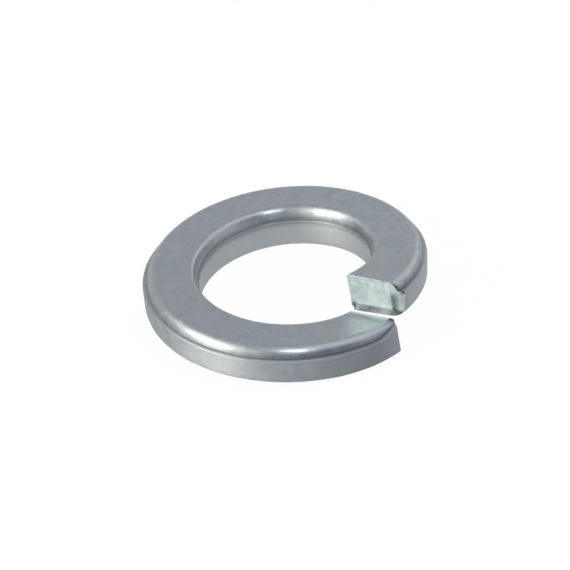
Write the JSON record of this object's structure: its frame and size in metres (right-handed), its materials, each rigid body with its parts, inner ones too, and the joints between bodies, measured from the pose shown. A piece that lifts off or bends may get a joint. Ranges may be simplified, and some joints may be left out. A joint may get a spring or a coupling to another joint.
{
  "type": "spring lock washer",
  "caption": "Split spring lock washer: one left-hand turn of flat wire with rounded top edges and slanted cut ends, zinc plated",
  "frame": {"origin": "On the bolt's axis, at the height of the washer's lowest point, the underside of its lower end", "axes": "+Z along the bolt toward the nut; the gap lies 41 degrees from +X toward -Y"},
  "size_m": [0.021, 0.021, 0.0061],
  "materials": {
    "zinc_plated_steel": "satin zinc plating, slightly mottled, with bright sheared end faces"
  },
  "bodies": {
    "root": {"lock_washer": "zinc_plated_steel"}
  },
  "joints": []
}
